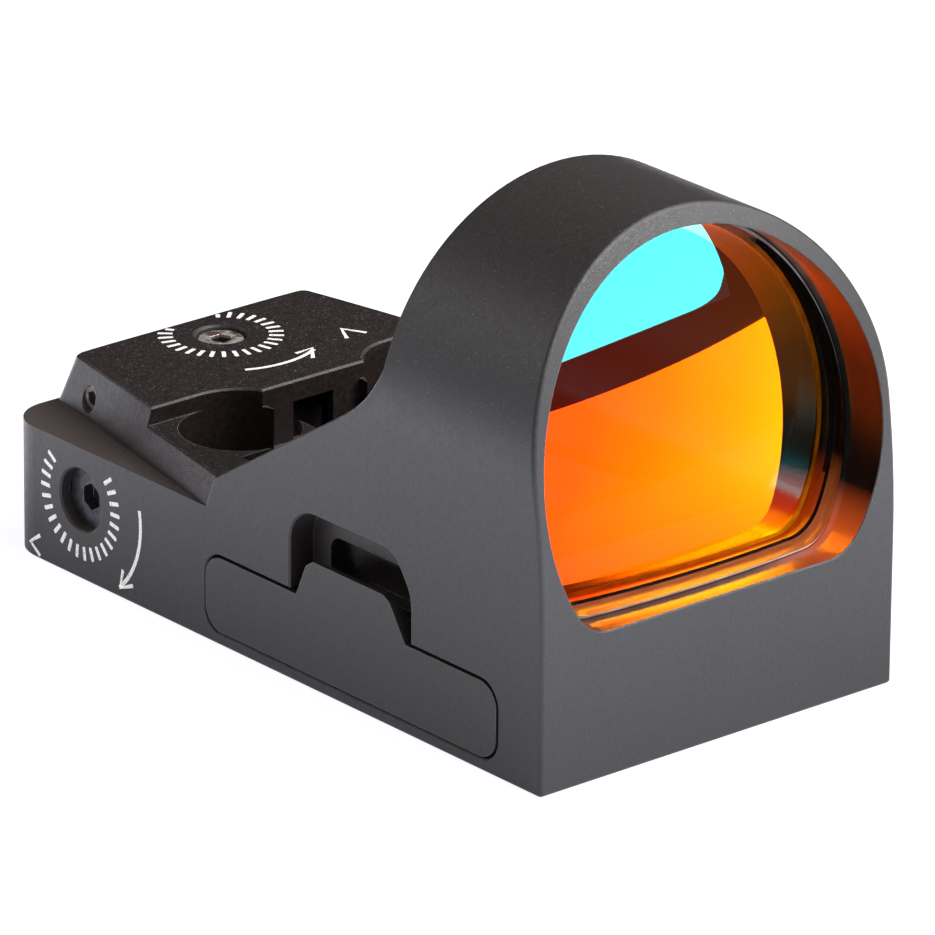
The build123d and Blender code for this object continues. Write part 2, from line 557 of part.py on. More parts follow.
# windage nut with a vertical T slot
nut = box(-7.4, -2.95, 41.95, 46.1, 3.7, 6.95) - cyl_x(WIND_Y, WIND_Z, SHAFT_R + RUN, -9, -2)
nut = nut - box(-4.2, -3.22, KEY_Y - 0.88, KEY_Y + 0.88, 3, 8)
save("windage_nut", nut - box(-3.4, -2, KEY_Y - 0.36, KEY_Y + 0.36, 3, 8))

# bias springs
save("elevation_spring", Pos(0, ELEV_Y, 1.05) * coil(1.25, 0.15, 0.52, 3.1))
save("windage_spring", Pos(2.6, 42.9, 6.5) * Rot(0, 90, 0) * coil(0.6, 0.1, 0.4, 2.4))
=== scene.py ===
# Red dot finder: an anodised body whose raked hood holds a cemented, dichroic-coated lens, with
# a block behind it that carries the elevation dial on top and the windage dial on its -X side.
# Row frame in metres, +Z up, the front towards -Y. Geometry is given in millimetres with y
# measured back from the front face; shader lengths are in metres.
import bpy, bmesh, json, math
from collections import namedtuple
from functools import reduce
import numpy as np
from mathutils import Vector, Matrix


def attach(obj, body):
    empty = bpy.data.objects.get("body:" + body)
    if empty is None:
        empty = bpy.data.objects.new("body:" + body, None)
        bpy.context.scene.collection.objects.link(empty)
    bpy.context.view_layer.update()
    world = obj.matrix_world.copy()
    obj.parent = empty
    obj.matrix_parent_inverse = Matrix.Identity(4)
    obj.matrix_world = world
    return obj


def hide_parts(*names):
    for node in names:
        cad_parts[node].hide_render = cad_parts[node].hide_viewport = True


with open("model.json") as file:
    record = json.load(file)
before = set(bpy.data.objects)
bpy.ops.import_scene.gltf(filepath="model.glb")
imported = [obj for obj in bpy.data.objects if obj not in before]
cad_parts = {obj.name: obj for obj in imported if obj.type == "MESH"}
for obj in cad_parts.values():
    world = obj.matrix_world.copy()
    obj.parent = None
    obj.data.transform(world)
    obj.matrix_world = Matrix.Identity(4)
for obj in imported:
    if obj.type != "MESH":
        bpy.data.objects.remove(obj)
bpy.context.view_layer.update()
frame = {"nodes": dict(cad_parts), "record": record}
nodes = frame["nodes"]
scene = bpy.context.scene

MM = 0.001
FRONT_TO_ORIGIN = 36.85     # front face to the mounting screws, where the row frame has y = 0

# D-shaped window of the hood: a circle cut by a flat sill, with rounded corners
WINDOW_R = 13.45
WINDOW_Z = 18.25
SILL_Z = 9.47
SILL_CORNER_R = 3.0
ARC_STEPS, CORNER_STEPS, SILL_STEPS = 138, 15, 24

# Lens surfaces, each the front of a ball through (0, y, LENS_Z); slope is dy/dz, side is dy/dx
LENS_Z = 20.0
Ball = namedtuple("Ball", "y slope radius side")
FRONT_BALL = Ball(y=3.25, slope=0.2294, radius=82.7, side=0.0)
COAT_BALL = Ball(y=5.386, slope=0.1713, radius=74.8, side=0.0213)
BACK_BALL = Ball(y=8.15, slope=0.20, radius=75.0, side=0.0)


# ------------------------------------------------------------------ node helpers
class Shader:
    """Node tree of a material or world, with short calls for the nodes used here."""

    def __init__(self, owner, output_kind):
        owner.use_nodes = True
        self.tree = owner.node_tree
        self.tree.nodes.clear()
        self.output = self.node(output_kind)
        self.object_coord = None

    def feed(self, socket, value):
        """Link a socket, or set a constant; RGB colours get an alpha of 1."""
        if isinstance(value, bpy.types.NodeSocket):
            self.tree.links.new(value, socket)
        elif isinstance(value, (tuple, list)) and len(value) == 3 and socket.type == "RGBA":
            socket.default_value = (*value, 1.0)
        else:
            socket.default_value = value

    def node(self, kind, *inputs, **settings):
        """Capitalised settings are input sockets (_ for a space), the others are properties."""
        node = self.tree.nodes.new("ShaderNode" + kind)
        sockets = dict(enumerate(inputs))
        for key, value in settings.items():
            if key[0].isupper():
                sockets[key.replace("_", " ")] = value
            else:
                setattr(node, key, value)
        for key, value in sockets.items():
            self.feed(node.inputs[key], value)
        return node

    def value(self, kind, *inputs, **settings):
        """First output of a new node."""
        return self.node(kind, *inputs, **settings).outputs[0]

    def surface(self, socket):
        self.feed(self.output.inputs["Surface"], socket)

    def coord(self):
        if self.object_coord is None:
            self.object_coord = self.node("TexCoord").outputs["Object"]
        return self.object_coord

    def xyz(self, vector):
        return tuple(self.node("SeparateXYZ", vector).outputs)

    def noise(self, scale, detail=3.0, rough=0.5, vector=None):
        return self.value("TexNoise", Scale=scale, Detail=detail, Roughness=rough,
                          Vector=vector or self.coord())

    def math(self, operation, a, b=0.0):
        return self.value("Math", a, b, operation=operation)

    def add(self, a, b):
        return self.math("ADD", a, b)

    def sub(self, a, b):
        return self.math("SUBTRACT", a, b)

    def mul(self, *factors):
        return reduce(lambda a, b: self.math("MULTIPLY", a, b), factors)

    def rest(self, share):
        """1 - share."""
        return self.sub(1.0, share)

    def remap(self, value, span, to, **settings):
        """Clamped map of span onto to."""
        return self.value("MapRange", value, *span, *to, **settings)

    def rise(self, value, span):
        """0 before the span, 1 after it."""
        return self.remap(value, span, to=(0.0, 1.0))

    def fall(self, value, span):
        """1 before the span, 0 after it."""
        return self.remap(value, span, to=(1.0, 0.0))

    def mix(self, share, first, second):
        node = self.node("Mix", data_type="RGBA")
        for index, value in ((0, share), (6, first), (7, second)):
            self.feed(node.inputs[index], value)
        return node.outputs[2]

    def mottle(self, pattern, span, low, high):
        """Two colours mixed by a pattern."""
        return self.mix(self.rise(pattern, span), low, high)

    def ramp(self, share, stops):
        node = self.node("ValToRGB", share)
        elements = node.color_ramp.elements
        while len(elements) < len(stops):
            elements.new(0.5)
        for element, (position, colour) in zip(elements, stops):
            element.position = position
            element.color = (*colour, 1.0)
        return node.outputs[0]

    def bump(self, height, strength, distance, **normal):
        return self.value("Bump", Strength=strength, Distance=distance, Height=height, **normal)

    def bevel(self, radius):
        """Normal rounded over the edges."""
        return self.value("Bevel", samples=4, Radius=radius)

    def dot(self, a, b):
        return self.node("VectorMath", a, b, operation="DOT_PRODUCT").outputs["Value"]

    def edge_mask(self, rounded, span=(0.02, 0.25)):
        """0 on flats, 1 on edge crests: how far the rounded normal leans from the true one."""
        true_normal = self.node("NewGeometry").outputs["Normal"]
        return self.rise(self.rest(self.dot(rounded, true_normal)), span)

    def bounces(self):
        """Glossy and diffuse bounces the ray has made so far."""
        path = self.node("LightPath").outputs
        return self.add(path["Glossy Depth"], path["Diffuse Depth"])

    def principled(self, **sockets):
        self.surface(self.value("BsdfPrincipled", **sockets))


class Material(Shader):
    def __init__(self, name):
        self.name = name
        self.block = bpy.data.materials.new(name)
        super().__init__(self.block, "OutputMaterial")


def scaled(colour, factor):
    return tuple(min(1, channel * factor) for channel in colour)


# ------------------------------------------------------------------ anodised aluminium
# painted shade inside the hood, deeper than the body's black
HOOD_SHADE_LOW, HOOD_SHADE_HIGH = (0.0030, 0.0023, 0.0020), (0.0055, 0.0044, 0.0040)
# painted shade in the pockets of the rear block
POCKET_SHADE_LOW, POCKET_SHADE_HIGH = (0.0085, 0.0050, 0.0045), (0.0150, 0.0095, 0.0085)
HOOD_RAKE_R = 0.0555        # the front face of the hood curves back on this radius...
HOOD_RAKE_Z = 0.01014       # ...above this height
RAMP_Y, RAMP_SLOPE = 0.01944, 0.6346    # sloping upper limit of the painted shade behind the lens
# orange of the coat's light, painted on the smooth hood wall as emission
PAINTED_COAT_LIGHT = (1.0, 0.13, 0.015)
FRONT_SAG = 6.05            # y of the lens front per squared distance from its axis, 1/m


def hood_shade_mask(m, x, z, from_front):
    """1 inside the hood, whose black is deepened there as painted shade."""
    dz = m.sub(z, WINDOW_Z * MM)
    radius = m.math("SQRT", m.add(m.mul(x, x), m.mul(dz, dz)))
    in_circle = m.fall(radius, span=(0.01347, 0.01352))
    above_sill = m.rise(z, span=(0.00935, 0.00945))
    height = m.math("MAXIMUM", m.sub(z, HOOD_RAKE_Z), 0.0)
    face_y = m.sub(HOOD_RAKE_R, m.math("SQRT", m.sub(HOOD_RAKE_R ** 2, m.mul(height, height))))
    behind_face = m.rise(m.sub(from_front, face_y), span=(0.00006, 0.00010))
    ahead_of_block = m.fall(from_front, span=(0.0335, 0.0336))
    ramp_height = m.add(m.mul(m.sub(from_front, RAMP_Y), RAMP_SLOPE), z)
    under_ramp = m.fall(ramp_height, span=(0.01833, 0.01838))
    in_hood = m.math("MAXIMUM", m.fall(from_front, span=(0.0154, 0.01545)), under_ramp)
    return m.mul(m.mul(in_circle, above_sill),
                 m.mul(behind_face, m.mul(ahead_of_block, in_hood)))


def painted_coat_light(m, front_wall, x, z, from_front):
    """Strength of the orange light that the coat throws on the smooth wall, painted on as
    emission, strongest low down.
    """
    heights = m.add(m.remap(z, span=(0.0104, 0.0130), to=(0.50, 0.0)),
                    m.remap(z, span=(0.0230, 0.0310), to=(0.0, 0.05)))
    painted_light = m.mul(front_wall, heights)
    painted_light = m.mul(painted_light, m.remap(x, span=(0.004, 0.010), to=(0.10, 1.0)))
    # only in front of the lens
    dz = m.sub(z, LENS_Z * MM)
    lens_y = m.add(m.mul(dz, FRONT_BALL.slope),
                   m.mul(m.add(m.mul(dz, dz), m.mul(x, x)), FRONT_SAG))
    return m.mul(painted_light, m.fall(m.sub(from_front, lens_y), span=(0.00345, 0.00365)))


def body_zones(m, colour, rough, level, mottling, up, normal):
    """Painted shade inside the hood, in the pockets, on the flanks and in the recess, painted
    light on the hood top and from the coat, and a paler ledge; gives colour, roughness, specular
    and painted light.
    """
    x, y, z = m.xyz(m.coord())
    from_front = m.add(y, FRONT_TO_ORIGIN * MM)
    normal_x, _, normal_z = normal
    mottle_span = (0.35, 0.65)

    # painted shade: the inside of the hood is darkened below the body's black; glossy (roughness
    # 0.26) ahead of the lens, matt behind it
    black = hood_shade_mask(m, x, z, from_front)
    colour = m.mix(black, colour, m.mottle(mottling, mottle_span, HOOD_SHADE_LOW, HOOD_SHADE_HIGH))
    front_wall = m.mul(black, m.fall(from_front, span=(0.0098, 0.0102)))
    rough = m.add(m.mul(rough, m.rest(front_wall)), m.mul(front_wall, 0.26))
    # its specular gains 0.5, less 0.72 at mid height; behind the lens 0.7 of it is lost as
    # painted shade
    mid_height = m.mul(m.rise(z, span=(0.0112, 0.0134)), m.fall(z, span=(0.0205, 0.0265)))
    level = m.add(level, m.mul(front_wall, m.sub(0.5, m.mul(mid_height, 0.72))))
    level = m.mul(level, m.rest(m.mul(m.sub(black, front_wall), 0.7)))

    # painted shade in the pockets: faces of the rear block that look sideways, inside its
    # outline and above the ledge, turn dark brown and lose 0.45 of their specular
    side_x = m.math("ABSOLUTE", x)
    inner = m.mul(m.rise(from_front, span=(0.0320, 0.0322)),
                  m.rise(side_x, span=(0.01215, 0.0120)))
    inner = m.mul(inner, m.mul(m.rise(z, span=(0.0045, 0.0046)),
                               m.rise(from_front, span=(0.0460, 0.0420))))
    inner = m.mul(inner, m.fall(up, span=(0.0, 0.5)))
    colour = m.mix(inner, colour, m.mottle(mottling, mottle_span, POCKET_SHADE_LOW, POCKET_SHADE_HIGH))
    level = m.mul(level, m.rest(m.mul(inner, 0.45)))

    # the low ledge is paler (0.85) than the block top; the hood top (0.60), lightened as painted
    # light, lies between
    pale = m.mul(m.fall(z, span=(0.0100, 0.0104)), m.rise(from_front, span=(0.0325, 0.0335)))
    pale = m.mul(pale, m.mul(up, m.rest(inner)))
    high = m.mul(m.rise(z, span=(0.0150, 0.0220)), m.mul(up, m.rest(black)))
    colour = m.mix(m.mul(pale, 0.85), colour, (0.082, 0.066, 0.061))
    colour = m.mix(m.mul(high, 0.60), colour, (0.040, 0.036, 0.037))

    # painted shade: inclined flanks of the rear block turn browner towards the hood and lose
    # 0.30 specular
    facing_side = m.math("ABSOLUTE", normal_x)
    flank_shade = m.mul(m.rise(facing_side, span=(0.55, 0.75)), m.rise(normal_z, span=(0.12, 0.22)))
    flank_shade = m.mul(flank_shade, m.mul(m.rise(z, span=(0.0080, 0.0088)),
                               m.remap(from_front, span=(0.0490, 0.0380), to=(0.15, 0.80))))
    flank_shade = m.mul(flank_shade, m.rise(from_front, span=(0.0305, 0.0320)))
    colour = m.mix(flank_shade, colour, (0.0190, 0.0130, 0.0120))
    level = m.mul(level, m.rest(m.mul(flank_shade, 0.30)))

    # painted shade in the recess behind the finger tab on the -X side: mostly (0.8) brown in its
    # lower part
    recess_shade = m.mul(m.rise(x, span=(-0.01405, -0.01395)), m.fall(x, span=(-0.0085, -0.0084)))
    recess_shade = m.mul(recess_shade, m.mul(m.rise(from_front, span=(0.0120, 0.0121)),
                                 m.fall(from_front, span=(0.0239, 0.0240))))
    recess_shade = m.mul(recess_shade, m.fall(z, span=(0.0096, 0.0106)))
    colour = m.mix(m.mul(recess_shade, 0.8), colour, (0.016, 0.0105, 0.0075))

    return colour, rough, level, painted_coat_light(m, front_wall, x, z, from_front)


def anodised(name, base, rough, grain, speck=0.5, warm_top=True, zones=False):
    """Bead-blasted, black anodised aluminium: fine grain, specks on upward faces, worn edges
    with a painted highlight.
    """
    m = Material(name)
    fine = m.noise(scale=9000, detail=2, rough=0.6)     # blasted grain, about 0.1 mm
    mottling = m.noise(scale=2600)
    rounded = m.bevel(radius=0.00010)
    edges = m.edge_mask(rounded, span=(0.03, 0.30))
    wear = m.remap(m.noise(scale=900, detail=2, rough=0.6), span=(0.30, 0.62), to=(0.35, 1.0))
    # worn edges, brightened also as painted highlight
    wear_and_highlight = m.mul(edges, wear)

    # base tone with fine grain and broad, faint patches
    colour = m.mottle(fine, span=(0.3, 0.7), low=scaled(base, 0.80), high=scaled(base, 1.22))
    patches = m.remap(m.noise(scale=120), span=(0.35, 0.65), to=(0.0, 0.25))
    colour = m.mix(patches, colour, scaled(base, 1.2))

    # faces that look up are browner and carry bright specks, coarse and fine
    normal = m.xyz(m.node("NewGeometry").outputs["Normal"])
    up = m.rise(normal[2], span=(0.10, 0.85))
    if warm_top:
        brown = m.mottle(mottling, span=(0.35, 0.65),
                         low=(0.0085, 0.0055, 0.0050), high=(0.0165, 0.0115, 0.0105))
        colour = m.mix(up, colour, brown)
    coarse_specks = m.remap(m.noise(scale=6500, detail=1), span=(0.675, 0.75), to=(0.0, speck))
    fine_specks = m.remap(m.noise(scale=9500, detail=1), span=(0.60, 0.74),
                          to=(0.0, speck * 0.30))
    specks = m.math("MAXIMUM", coarse_specks, fine_specks)
    specks = m.mul(specks, m.remap(up, span=(0.0, 0.5), to=(0.06, 1.0)))
    colour = m.mix(specks, colour, (0.26, 0.25, 0.245))
    bare_and_highlit = 0.34             # brightness of the edges: bare metal and painted highlight
    colour = m.mix(wear_and_highlight, colour, (bare_and_highlit, bare_and_highlit * 0.97, bare_and_highlit * 0.96))

    # edges are rubbed smoother by 0.12
    roughness = m.remap(mottling, span=(0.3, 0.7), to=(rough - 0.04, rough + 0.06))
    roughness = m.sub(roughness, m.mul(edges, 0.12))
    # relief: 0.6 grain and 0.5 pits
    pits = m.rise(m.value("TexVoronoi", Scale=5200, Vector=m.coord()), span=(0.0, 0.6))
    height = m.add(m.mul(fine, 0.6), m.mul(pits, 0.5))
    level = m.remap(up, span=(0.0, 1.0), to=(0.5, 0.40))
    emission = {}
    if zones:
        colour, roughness, level, painted_light = body_zones(m, colour, roughness, level,
                                                    mottling, up, normal)
        # the coat's orange on the hood wall is painted light, emitted by the wall
        emission = {"Emission_Color": PAINTED_COAT_LIGHT, "Emission_Strength": painted_light}
    relief = m.bump(height, strength=grain, distance=0.000012, Normal=rounded)
    m.principled(Base_Color=colour, Roughness=roughness, Normal=relief,
                 Specular_IOR_Level=level, IOR=1.55, **emission)
    return m


# ------------------------------------------------------------------ other metals and plastics
def metal(name, colour, rough, blots=None, grain=4000, edge=None, metallic=1.0, socket_z=None):
    """Metal with optional dark blots, bright edges, and grime with painted shade below socket_z.
    """
    m = Material(name)
    tone = m.mottle(m.noise(scale=grain, rough=0.6), span=(0.3, 0.7),
                    low=scaled(colour, 0.75), high=scaled(colour, 1.2))
    if blots is not None:
        tone = m.mix(m.rise(m.noise(scale=1400, rough=0.6), span=(0.42, 0.60)), tone, blots)
    rounded = m.bevel(radius=0.00006)
    if edge is not None:
        tone = m.mix(m.edge_mask(rounded), tone, edge)
    if socket_z is not None:
        # grease and shadow in the hex socket and down the sides of the head
        z = m.xyz(m.coord())[2]
        grime_and_shade = m.remap(z, span=(socket_z - 0.00012, socket_z), to=(0.92, 0.0))
        tone = m.mix(grime_and_shade, tone, (0.010, 0.007, 0.006))
    roughness = m.remap(m.noise(scale=2200, detail=2), span=(0.3, 0.7),
                        to=(rough - 0.08, rough + 0.1))
    relief = m.bump(m.noise(scale=grain * 1.7, detail=2, rough=0.6),
                    strength=0.5, distance=0.000006, Normal=rounded)
    m.principled(Base_Color=tone, Roughness=roughness, Normal=relief, Metallic=metallic)
    return m


def plastic(name, colour, rough, grain=3500, relief=0.00001, coat=0.0, specular=0.5):
    m = Material(name)
    tone = m.mottle(m.noise(scale=grain, rough=0.6), span=(0.3, 0.7),
                    low=scaled(colour, 0.75), high=scaled(colour, 1.25))
    roughness = m.remap(m.noise(scale=grain * 0.6, detail=2), span=(0.3, 0.7),
                        to=(rough - 0.06, rough + 0.08))
    bumps = m.bump(m.noise(scale=grain * 1.6, detail=2, rough=0.6),
                   strength=0.6, distance=relief, Normal=m.bevel(radius=0.00006))
    m.principled(Base_Color=tone, Roughness=roughness, Normal=bumps, IOR=1.5,
                 Coat_Weight=coat, Specular_IOR_Level=specular)
    return m


# materials named after the frame's slots, and the panel's own
slot_materials = {m.name: m for m in (
    anodised("anodised_body", base=(0.0285, 0.0285, 0.0315), rough=0.46, grain=0.9, zones=True),
    anodised("anodised_drawer", base=(0.029, 0.0285, 0.0305), rough=0.43, grain=0.6, speck=0.2),
    anodised("anodised_panel", base=(0.027, 0.027, 0.028), rough=0.44, grain=0.8,
             warm_top=False),
    metal("spring_steel", colour=(0.55, 0.55, 0.54), rough=0.25),
    metal("black_steel", colour=(0.10, 0.095, 0.095), rough=0.35, edge=(0.34, 0.33, 0.32)),
    metal("adjuster_steel", colour=(0.62, 0.55, 0.51), rough=0.42, blots=(0.12, 0.085, 0.072),
          edge=(0.85, 0.80, 0.77), metallic=0.55, socket_z=0.01165),
    metal("contact_brass", colour=(0.80, 0.62, 0.30), rough=0.25),
    metal("carriage_brass", colour=(0.62, 0.47, 0.20), rough=0.32),
    metal("cell_can", colour=(0.62, 0.62, 0.61), rough=0.38, grain=4600),
    plastic("seal_rubber", colour=(0.020, 0.020, 0.020), rough=0.6),
    plastic("board_laminate", colour=(0.03, 0.16, 0.07), rough=0.35, grain=1500),
    plastic("chip_plastic", colour=(0.03, 0.03, 0.032), rough=0.5),
    plastic("lead_insulation", colour=(0.40, 0.03, 0.03), rough=0.4),
    plastic("led_resin", colour=(0.60, 0.05, 0.04), rough=0.15, coat=0.5),
    plastic("button_rubber", colour=(0.028, 0.028, 0.029), rough=0.55, relief=0.00002),
    plastic("black_adhesive", colour=(0.012, 0.012, 0.013), rough=0.35, relief=0.000006),
)}
adhesive = slot_materials["black_adhesive"]
slot_materials["coated_lens"] = slot_materials["lens_glass"] = adhesive

# pieces that differ from the material of their slot
piece_materials = {
    "control_panel": slot_materials["anodised_panel"],
    "windage_screw": metal(
        "windage_screw_steel", colour=(0.105, 0.108, 0.120), rough=0.42,
        blots=(0.055, 0.055, 0.062), edge=(0.50, 0.47, 0.44), metallic=0.7),
    "elevation_lock_screw": metal(
        "lock_screw_steel", colour=(0.30, 0.275, 0.26), rough=0.42,
        blots=(0.10, 0.085, 0.075), edge=(0.60, 0.57, 0.55), metallic=0.5),
    # the emitter board and its carriage behind the red window are darkened as painted shade
    "emitter_board": plastic(
        "emitter_board_shaded", colour=(0.020, 0.010, 0.008), rough=0.4, grain=1800),
    "emitter_carriage": metal(
        "emitter_carriage_shaded", colour=(0.045, 0.035, 0.03), rough=0.45),
}


# ------------------------------------------------------------------ glass
def lens_polish():
    """Faintly smeared glass with an anti-reflection coat."""
    m = Material("lens_polish")
    smear = m.remap(m.noise(scale=60, detail=4, rough=0.6), span=(0.5, 0.8), to=(0.0, 0.004))
    through = m.value("BsdfRefraction", Color=(1, 1, 1), IOR=1.5, Roughness=smear)
    reflected = m.value("BsdfGlossy", Color=(0.75, 0.85, 1.0), Roughness=0.0)
    reflectance = 0.0015
    m.surface(m.value("MixShader", reflectance, through, reflected))
    return m


def cement_face():
    """Inner face of a cemented joint: light goes straight on."""
    m = Material("lens_cement_face")
    faint = m.remap(m.noise(scale=40, detail=2), span=(0.3, 0.7), to=(0.985, 1.0))
    grey = m.value("CombineColor", faint, faint, faint)
    m.surface(m.value("BsdfTransparent", Color=grey))
    return m


# (position, colour reflected) by cosine of incidence, from 0.84 at 0 to 1 at 1
COAT_STOPS = [
    (0.0, (1.0, 0.36, 0.0)), (0.15, (1.0, 0.25, 0.0)), (0.25, (1.0, 0.18, 0.0)),
    (0.39, (1.0, 0.105, 0.0)), (0.50, (1.0, 0.062, 0.001)), (0.62, (1.0, 0.05, 0.003)),
    (1.0, (0.95, 0.035, 0.008)),
]


def lens_coating():
    """Dichroic coat: reflects orange (more yellow at steep angles), passes cyan."""
    m = Material("lens_coating")
    geometry = m.node("NewGeometry").outputs
    cosine = m.math("ABSOLUTE", m.dot(geometry["Normal"], geometry["Incoming"]))
    # noise about its mean of 0.5 makes the cosine waver by a few thousandths
    waver = m.mul(m.sub(m.noise(scale=90, detail=2), 0.5), 0.006)
    share = m.rise(m.add(cosine, waver), span=(0.84, 1.0))
    reflected = m.value("BsdfGlossy", Roughness=0.0, Color=m.ramp(share, COAT_STOPS))
    # light that has already bounced is held back, which keeps the tunnel behind the lens dark
    unbounced = m.math("LESS_THAN", m.bounces(), 0.5)
    passed = m.mix(unbounced, (0.0, 0.0, 0.0), (0.055, 0.97, 1.0))
    m.surface(m.value("AddShader", reflected, m.value("BsdfTransparent", Color=passed)))
    return m


def ground_rim():
    """Ground rim, black on flanks and crown, with the coat's orange painted on along the sill as
    emitted light.
    """
    m = Material("lens_ground_rim")
    stretched = m.value("Mapping", Vector=m.coord(), Scale=(1.0, 5.0, 1.0))
    streak = m.rise(m.noise(scale=420, rough=0.6, vector=stretched), span=(0.3, 0.7))
    low = m.fall(m.xyz(m.coord())[2], span=(0.0100, 0.0142))
    painted_light = m.mix(streak, (0.30, 0.055, 0.014), (0.52, 0.125, 0.035))
    peak = 0.85             # painted light: emission at the sill
    m.principled(Base_Color=m.mix(streak, (0.006, 0.005, 0.0055), (0.016, 0.011, 0.010)),
                 Roughness=0.35, IOR=1.5,
                 Emission_Color=painted_light, Emission_Strength=m.mul(low, peak))
    return m


def front_bevel():
    """Ground front bevel of the lens: a pale line of painted highlight, emitted, brightest along
    the sill.
    """
    m = Material("lens_front_bevel")
    x, _, z = m.xyz(m.coord())
    # painted highlight: emission strength along the bevel
    painted_light = m.add(m.remap(z, span=(0.0098, 0.0135), to=(0.62, 0.12)),
                 m.remap(z, span=(0.0215, 0.0275), to=(0.0, 0.10)))
    painted_light = m.mul(painted_light, m.remap(m.noise(scale=700, rough=0.6), span=(0.35, 0.65),
                               to=(0.45, 1.15)))
    painted_light = m.mul(painted_light, m.remap(x, span=(0.001, 0.006), to=(0.65, 1.0)))
    tone = m.mottle(m.noise(scale=2500, detail=2), span=(0.3, 0.7),
                    low=(0.06, 0.06, 0.065), high=(0.12, 0.12, 0.125))
    m.principled(Base_Color=tone, Roughness=0.3,
                 Emission_Color=(0.92, 0.88, 0.90), Emission_Strength=painted_light)
    return m


def emitter_window():
    """Dark red window with a weak, slightly rough reflection."""
    m = Material("emitter_window_glass")
    tint = m.mottle(m.noise(scale=600, detail=2), span=(0.3, 0.7),
                    low=(0.10, 0.028, 0.022), high=(0.14, 0.045, 0.035))
    rough = m.remap(m.noise(scale=800, detail=2), span=(0.4, 0.8), to=(0.03, 0.10))
    strength = 0.3          # share of the Fresnel reflection kept
    reflectance = m.mul(m.value("Fresnel", IOR=1.5), strength)
    m.surface(m.value("MixShader", reflectance, m.value("BsdfTransparent", Color=tint),
                      m.value("BsdfGlossy", Roughness=rough)))
    return m


def mark_paint():
    """White printing ink, slightly worn."""
    m = Material("mark_paint")
    ink = m.mottle(m.noise(scale=11000, rough=0.65), span=(0.36, 0.46),
                   low=(0.22, 0.21, 0.20), high=(0.86, 0.86, 0.85))
    relief = m.bump(m.noise(scale=14000, detail=2, rough=0.6), strength=0.5, distance=0.000006)
    # the ink also emits at 0.30 of its colour: painted light
    m.principled(Base_Color=ink, Roughness=0.6, Normal=relief,
                 Emission_Color=ink, Emission_Strength=0.30)
    return m


polish = lens_polish()
cement = cement_face()
coating = lens_coating()
edge_black = plastic("lens_edge_black", colour=(0.014, 0.006, 0.006), rough=0.62,
                     relief=0.000002, specular=0.08)
rim = ground_rim()
glint = front_bevel()
piece_materials["emitter_window"] = emitter_window()
ink = mark_paint()


def assign(piece, material):
    slots = nodes[piece].data.materials
    slots.clear()
    slots.append(material.block)


for piece in nodes:
    slot_name = next(s["material_slot"] for s in frame["record"]["subparts"]
                     if s["node"] == piece)
    assign(piece, slot_materials[slot_name])
for piece, material in piece_materials.items():
    assign(piece, material)


# ------------------------------------------------------------------ mesh helpers
def new_object(name, points, faces, materials):
    """Mesh riding on the sight body; points in millimetres, y from the front face."""
    mesh = bpy.data.meshes.new(name)
    mesh.from_pydata([(x * MM, (y - FRONT_TO_ORIGIN) * MM, z * MM) for x, y, z in points],
                     [], faces)
    mesh.validate()
    for material in materials:
        mesh.materials.append(material.block)
    obj = bpy.data.objects.new(name, mesh)
    scene.collection.objects.link(obj)
    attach(obj, "sight_body")
    return obj


def face_outward(obj):
    bm = bmesh.new()
    bm.from_mesh(obj.data)
    bmesh.ops.recalc_face_normals(bm, faces=bm.faces)
    bm.to_mesh(obj.data)
    bm.free()


def around(count):
    """Neighbouring index pairs of a closed loop."""
    return [(i, (i + 1) % count) for i in range(count)]


# ------------------------------------------------------------------ lens
def window_outline(offset):
    """Window outline (x, z), anticlockwise with x to the right, grown by offset."""
    radius, sill_z = WINDOW_R + offset, SILL_Z - offset
    # corner centres: the corners touch both the circle and the sill
    corner_z = sill_z + SILL_CORNER_R
    corner_x = math.sqrt((radius - SILL_CORNER_R) ** 2 - (corner_z - WINDOW_Z) ** 2)
    tangent = math.atan2(corner_z - WINDOW_Z, corner_x)

    def arc(centre_x, centre_z, arc_radius, start, end, steps):
        angles = [start + (end - start) * i / steps for i in range(steps)]
        return [(centre_x + arc_radius * math.cos(a), centre_z + arc_radius * math.sin(a))
                for a in angles]

    return (arc(0.0, WINDOW_Z, radius, tangent, math.pi - tangent, ARC_STEPS)
            + arc(-corner_x, corner_z, SILL_CORNER_R, math.pi - tangent, 1.5 * math.pi,
                  CORNER_STEPS)
            + [(-corner_x + 2 * corner_x * i / SILL_STEPS, sill_z) for i in range(SILL_STEPS)]
            + arc(corner_x, corner_z, SILL_CORNER_R, -0.5 * math.pi, tangent, CORNER_STEPS))


def on_ball(ball, x, z, shift=0.0):
    """Point (x, y, z) on the front of the ball, moved back by shift."""
    k = 1.0 / math.sqrt(1 + ball.slope ** 2 + ball.side ** 2)
    centre_x = ball.side * ball.radius * k
    centre_y = ball.y + shift + ball.radius * k
    centre_z = LENS_Z - ball.slope * ball.radius * k
    depth = math.sqrt(ball.radius ** 2 - (x - centre_x) ** 2 - (z - centre_z) ** 2)
    return x, centre_y - depth, z


HUB_X, HUB_Z = 0.0, 20.2    # the rings of the lens faces shrink towards this point
LENS_RINGS = 44


